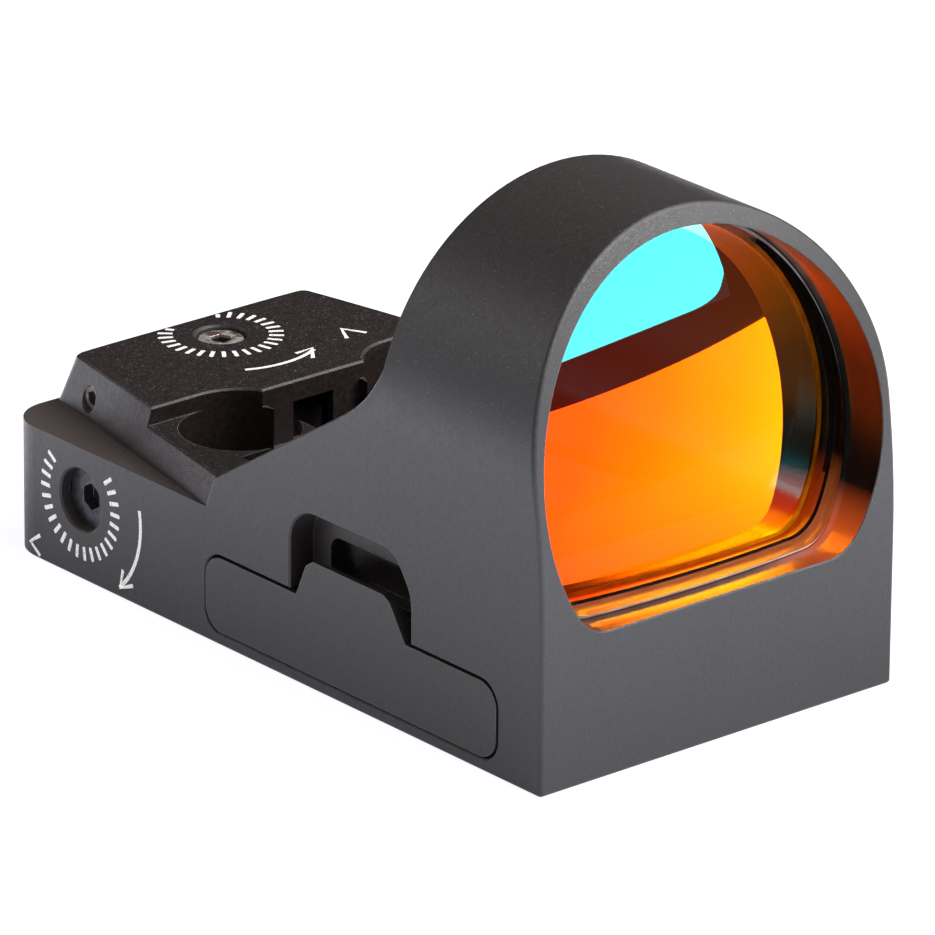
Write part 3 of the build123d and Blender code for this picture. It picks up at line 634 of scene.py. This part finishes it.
def lens_mesh(name, offset, front, back, materials, replaced,
              front_shift=0.0, front_chamfer=0.10, back_chamfer=0.10, painted=0):
    """Closed lens with finely meshed spherical faces, chamfers and an edge.

    Materials are front, back, then (back paint, front chamfer, edge) or one for all three.
    painted is the number of extra outer rings of the back that carry paint.
    """
    outline = window_outline(offset)
    count = len(outline)
    points, faces, slots, smooth = [], [], [], []
    edge_slot = len(materials) - 1
    chamfer_slot = min(3, edge_slot)

    def add_face(face, slot_index, is_smooth):
        faces.append(face)
        slots.append(slot_index)
        smooth.append(is_smooth)

    def shell(rim_outline, ball, shift, is_back):
        """Fan and rings of one face; gives the index of its first rim point."""
        base = len(points)
        face_slot = 1 if is_back else 0
        points.append(on_ball(ball, HUB_X, HUB_Z, shift))
        for ring in range(1, LENS_RINGS + 1):
            share = ring / LENS_RINGS
            for x, z in rim_outline:
                points.append(on_ball(ball, HUB_X + (x - HUB_X) * share,
                                      HUB_Z + (z - HUB_Z) * share, shift))
        for i, j in around(count):
            face = (base, base + 1 + i, base + 1 + j)
            add_face(face[::-1] if is_back else face, face_slot, True)
        for ring in range(LENS_RINGS - 1):
            a = base + 1 + ring * count
            for i, j in around(count):
                face = (a + i, a + count + i, a + count + j, a + j)
                x, z = rim_outline[i]
                # the paint is one ring broader on the +X flank
                wide = 1 if painted and x > 9.0 and z > 12.5 else 0
                is_paint = is_back and ring >= LENS_RINGS - 1 - painted - wide
                add_face(face[::-1] if is_back else face, 2 if is_paint else face_slot, True)
        return base + 1 + (LENS_RINGS - 1) * count

    front_rim = shell(window_outline(offset - front_chamfer), front, front_shift, False)
    back_rim = shell(window_outline(offset - back_chamfer), back, 0.0, True)
    edge_front = len(points)
    points += [on_ball(front, x, z, front_shift + front_chamfer) for x, z in outline]
    edge_back = len(points)
    points += [on_ball(back, x, z, -back_chamfer) for x, z in outline]
    for a, b, slot_index in ((front_rim, edge_front, chamfer_slot),
                             (edge_front, edge_back, edge_slot),
                             (edge_back, back_rim, edge_slot)):
        for i, j in around(count):
            add_face((a + i, b + i, b + j, a + j), slot_index, a == edge_front)

    obj = new_object(name, points, faces, materials)
    obj.data.polygons.foreach_set("material_index", slots)
    obj.data.polygons.foreach_set("use_smooth", smooth)
    face_outward(obj)
    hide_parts(replaced)


def bond_band():
    """Adhesive between the rear element's edge and the bore, hollowed front and back."""
    outer, inner = -0.05, -0.34
    middle = (outer + inner) / 2
    front_shift, back_shift, hollow = 0.06, -0.30, 0.05
    # (window offset, ball, shift) of each loop, once round the section
    loops = [
        (outer, COAT_BALL, front_shift),
        (middle, COAT_BALL, front_shift + hollow),
        (inner, COAT_BALL, front_shift),
        (inner, BACK_BALL, back_shift),
        (middle, BACK_BALL, back_shift - hollow),
        (outer, BACK_BALL, back_shift),
    ]
    points = [on_ball(ball, x, z, shift)
              for offset, ball, shift in loops for x, z in window_outline(offset)]
    count = len(points) // len(loops)
    faces = [(p * count + i, q * count + i, q * count + j, p * count + j)
             for p, q in around(len(loops)) for i, j in around(count)]
    obj = new_object("lens_bond_band", points, faces, [adhesive])
    face_outward(obj)
    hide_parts("lens_bond_ring")


lens_mesh("lens_front_glass", offset=-0.06, front=FRONT_BALL, back=COAT_BALL,
          materials=[polish, coating, edge_black, glint, rim],
          replaced="lens_front_element", front_chamfer=0.22, painted=1)
CEMENT_GAP = 0.02
lens_mesh("lens_rear_glass", offset=-0.36, front=COAT_BALL, back=BACK_BALL,
          materials=[cement, polish, edge_black],
          replaced="lens_rear_element", front_shift=CEMENT_GAP)
bond_band()


# ------------------------------------------------------------------ printed marks
INK_PROUD, INK_SUNK = 0.012, 0.03   # ink above and below the printed face
STROKE = 0.27                       # stroke width
TICK_R = 3.08                       # inner radius of the dial ticks
TICK_STEP = 12                      # degrees
TOP_Z = 12.05                       # top of the block
TOP_SHIFT_X = -0.15
SIDE_X = -14.2                      # -X face of the body
ELEVATION_CENTRE = (0.13, 48.14)    # (x before the shift, y)
WINDAGE_CENTRE = (44.58, 5.35)      # (y, z)


class Strokes:
    """Flat strokes as thin closed slabs; place(u, v, height) gives the point on the body."""

    def __init__(self, place):
        self.place = place
        self.points, self.faces = [], []

    def raise_slab(self, outline):
        """Add the outline above and below the face; gives its first index."""
        base = len(self.points)
        for height in (INK_PROUD, -INK_SUNK):
            self.points += [self.place(u, v, height) for u, v in outline]
        return base

    def bar(self, start, end):
        """Straight stroke with slightly rounded ends."""
        p, q = np.array(start, float), np.array(end, float)
        along = (q - p) / np.linalg.norm(q - p)
        side = np.array([-along[1], along[0]]) * STROKE / 2
        inset = along * STROKE * 0.16
        outline = [p + side + inset, p + side * 0.6, p - side * 0.6, p - side + inset,
                   q - side - inset, q - side * 0.6, q + side * 0.6, q + side - inset]
        n = len(outline)
        base = self.raise_slab(outline)
        self.faces.append(tuple(range(base, base + n)))
        self.faces.append(tuple(range(base + 2 * n - 1, base + n - 1, -1)))
        for i, j in around(n):
            self.faces.append((base + i, base + n + i, base + n + j, base + j))

    def band(self, line, width=STROKE):
        """Stroke along a polyline."""
        line = [np.array(point, float) for point in line]
        n = len(line)
        left, right = [], []
        for i in range(n):
            along = line[min(i + 1, n - 1)] - line[max(i - 1, 0)]
            along = along / np.linalg.norm(along)
            side = np.array([-along[1], along[0]]) * width / 2
            left.append(line[i] + side)
            right.append(line[i] - side)
        base = self.raise_slab(left + right)
        # left and right, above and below
        la, ra, lb, rb = (base + k * n for k in range(4))
        for i in range(n - 1):
            j = i + 1
            self.faces += [(la + i, ra + i, ra + j, la + j), (lb + i, lb + j, rb + j, rb + i),
                           (la + i, la + j, lb + j, lb + i), (ra + i, rb + i, rb + j, ra + j)]
        e = n - 1
        self.faces += [(la, lb, rb, ra), (la + e, ra + e, rb + e, lb + e)]

    def build(self, name):
        face_outward(new_object(name, self.points, self.faces, [ink]))


def polar(centre, radius, degrees):
    angle = math.radians(degrees)
    return centre[0] + radius * math.cos(angle), centre[1] + radius * math.sin(angle)


def arc_line(centre, radius, start, end, count):
    return [polar(centre, radius, a) for a in np.linspace(start, end, count)]


def elevation_marks():
    marks = Strokes(lambda u, v, height: (u + TOP_SHIFT_X, v, TOP_Z + height))
    rear_limit = 51.17      # ticks stop short of the rear edge of the block
    shortest_r = 3.3
    for k in range(360 // TICK_STEP):
        degrees = -5.5 + TICK_STEP * k
        if 60 < degrees % 360 < 120:
            continue
        angle = math.radians(degrees)
        outer_r = 4.05
        if math.sin(angle) > 0:
            room = rear_limit - ELEVATION_CENTRE[1] - STROKE / 2 * abs(math.cos(angle))
            outer_r = min(outer_r, room / math.sin(angle))
        if outer_r > shortest_r:
            marks.bar(polar(ELEVATION_CENTRE, TICK_R, degrees),
                      polar(ELEVATION_CENTRE, outer_r, degrees))
    # arrow: shaft and head
    marks.band(arc_line(ELEVATION_CENTRE, radius=6.5, start=-115, end=-63.5, count=26))
    marks.band([(1.71, 42.50), (3.11, 42.60), (2.03, 41.18)])
    # plain chevron beside the arrow
    marks.band([(5.95, 42.55), (6.75, 44.1), (7.55, 42.55)], width=0.28)
    marks.build("elevation_marks")


def windage_marks():
    marks = Strokes(lambda u, v, height: (SIDE_X - height, u, v))
    tick_count, sweep = 22, 253.0
    for k in range(tick_count):
        degrees = 36 - sweep * k / (tick_count - 1)
        marks.bar(polar(WINDAGE_CENTRE, TICK_R, degrees), polar(WINDAGE_CENTRE, 4.0, degrees))
    # arrow: shaft between the directions of two points, and head
    start, end = (math.degrees(math.atan2(v - WINDAGE_CENTRE[1], u - WINDAGE_CENTRE[0])) % 360
                  for u, v in ((38.61, 6.47), (40.58, 0.65)))
    marks.band(arc_line(WINDAGE_CENTRE, radius=6.12, start=start, end=end, count=24))
    marks.band([(40.26, 1.97), (40.55, 0.68), (39.26, 1.21)])
    # plain open triangle pointing to the rear
    marks.band([(48.75, 0.25), (49.75, 0.95), (48.75, 1.65)])
    marks.build("windage_marks")


elevation_marks()
windage_marks()

# ------------------------------------------------------------------ floor
STAGE_Y = -0.012            # the stage is centred here
FLOOR_R, FLOOR_STEPS = 0.215, 96
FLOOR_DROP = 0.00004
FOOT_X, FOOT_Y = 0.0142, 0.0261     # half sizes of the finder's footprint
FOOT_CENTRE_Y = -0.0107


def floor_white():
    """Even white to the camera; to the finder a painted shadow, dim close by, and painted light,
    brighter to the rear.
    """
    m = Material("floor_white")
    x, y, _ = m.xyz(m.coord())
    out_x = m.math("MAXIMUM", m.sub(m.math("ABSOLUTE", x), FOOT_X), 0.0)
    out_y = m.sub(m.math("ABSOLUTE", m.add(y, -FOOT_CENTRE_Y)), FOOT_Y)
    out_y = m.math("MAXIMUM", out_y, 0.0)
    distance = m.math("SQRT", m.add(m.mul(out_x, out_x), m.mul(out_y, out_y)))
    # painted shadow near the footprint, fading to brighter painted light further out
    painted_light = m.remap(distance, span=(0.0, 0.045), to=(0.52, 1.88),
                   interpolation_type="SMOOTHSTEP")
    painted_light = m.mul(painted_light, m.remap(y, span=(0.004, 0.034), to=(1.0, 1.60)))
    # painted shadow: a duller patch beside the -X flank
    left = m.fall(x, span=(-0.034, -0.030))
    shadow_patch = m.mul(m.remap(distance, span=(0.022, 0.034), to=(0.0, 0.34)),
                  m.fall(distance, span=(0.048, 0.062)))
    painted_light = m.mul(painted_light, m.rest(m.mul(left, shadow_patch)))
    direct = m.math("LESS_THAN", m.bounces(), 0.5)
    direct_strength = 0.93
    strength = m.add(m.mul(painted_light, m.rest(direct)), m.mul(direct, direct_strength))
    m.surface(m.value("AddShader",
                      m.value("Emission", Color=(0.98, 0.975, 1.06), Strength=strength),
                      m.value("BsdfDiffuse", Color=(0.30, 0.30, 0.30))))
    return m


turns = [2 * math.pi * i / FLOOR_STEPS for i in range(FLOOR_STEPS)]
floor_mesh = bpy.data.meshes.new("floor")
floor_mesh.from_pydata(
    [(0, STAGE_Y, 0)]
    + [(FLOOR_R * math.cos(a), STAGE_Y + FLOOR_R * math.sin(a), 0) for a in turns],
    [], [(0, 1 + i, 1 + j) for i, j in around(FLOOR_STEPS)])
floor = bpy.data.objects.new("floor", floor_mesh)
floor.location.z = -FLOOR_DROP
scene.collection.objects.link(floor)
floor_mesh.materials.append(floor_white().block)

# ------------------------------------------------------------------ world
# (position, colour) from straight down at 0 to straight up at 1: pale low, dark above
ROOM_STOPS = [
    (0.0, (0.85, 0.85, 0.87)), (0.425, (0.80, 0.80, 0.82)), (0.442, (0.09, 0.075, 0.07)),
    (0.60, (0.06, 0.05, 0.05)), (1.0, (0.05, 0.045, 0.045)),
]


def studio_world():
    """White to rays that have not bounced, directly or through the lens; else a dark room."""
    world = bpy.data.worlds.new("studio")
    scene.world = world
    w = Shader(world, "OutputWorld")
    white = w.value("Background", Color=(1, 1, 1), Strength=1.15)
    z = w.xyz(w.node("TexCoord").outputs["Generated"])[2]
    room_colour = w.ramp(w.rise(z, span=(-1.0, 1.0)), ROOM_STOPS)
    room = w.value("Background", Color=room_colour, Strength=1.0)
    bounced = w.math("GREATER_THAN", w.bounces(), 0.5)
    w.surface(w.value("MixShader", bounced, white, room))


studio_world()

# ------------------------------------------------------------------ lights
LIGHT_TARGET = Vector((0.0, STAGE_Y, 0.014))


def area_light(name, place, width, height, power):
    light = bpy.data.lights.new(name, "AREA")
    light.shape = "RECTANGLE"
    light.size = width
    light.size_y = height
    light.energy = power
    obj = bpy.data.objects.new(name, light)
    obj.location = place
    obj.rotation_mode = "QUATERNION"
    obj.rotation_quaternion = (LIGHT_TARGET - Vector(place)).to_track_quat("-Z", "Y")
    scene.collection.objects.link(obj)
    return obj


area_light("softbox_right_front", place=(0.222, -0.300, 0.225),
           width=0.16, height=0.16, power=1.15)
fill = area_light("fill_front", place=(-0.08, -0.42, 0.08), width=0.24, height=0.24, power=0.15)
fill.visible_glossy = False
fill.visible_transmission = False
area_light("overhead_front", place=(0.14, -0.21, 0.35), width=0.60, height=0.20, power=2.3)
area_light("rim_kicker", place=(0.270, -0.345, 0.165), width=0.10, height=0.10, power=0.20)
area_light("left_rear", place=(-0.26, 0.34, 0.25), width=0.20, height=0.20, power=0.35)

# ------------------------------------------------------------------ camera
CAMERA_PLACE = (-0.34996, -0.42654, 0.22452)
# the camera's own axes in the row frame: right, up, back
CAMERA_AXES = (
    (0.7651483871802087, -0.6438098426431105, 0.007538707540351242),
    (0.23130909097776575, 0.2857931533498262, 0.9299561161309724),
    (-0.6008694117914185, -0.7098106508176785, 0.36759323981708186),
)
camera_data = bpy.data.cameras.new("camera")
camera = bpy.data.objects.new("camera", camera_data)
scene.collection.objects.link(camera)
camera_data.sensor_width = 36.0
camera_data.lens = 361.94
camera_data.clip_start = 0.05
camera_data.clip_end = 5.0
pose = Matrix(CAMERA_AXES).transposed().to_4x4()
pose.translation = CAMERA_PLACE
camera.matrix_world = pose
scene.camera = camera
scene.view_settings.view_transform = "Standard"
scene.view_settings.look = "None"
scene.view_settings.exposure = 0.0
scene.view_settings.gamma = 1.0
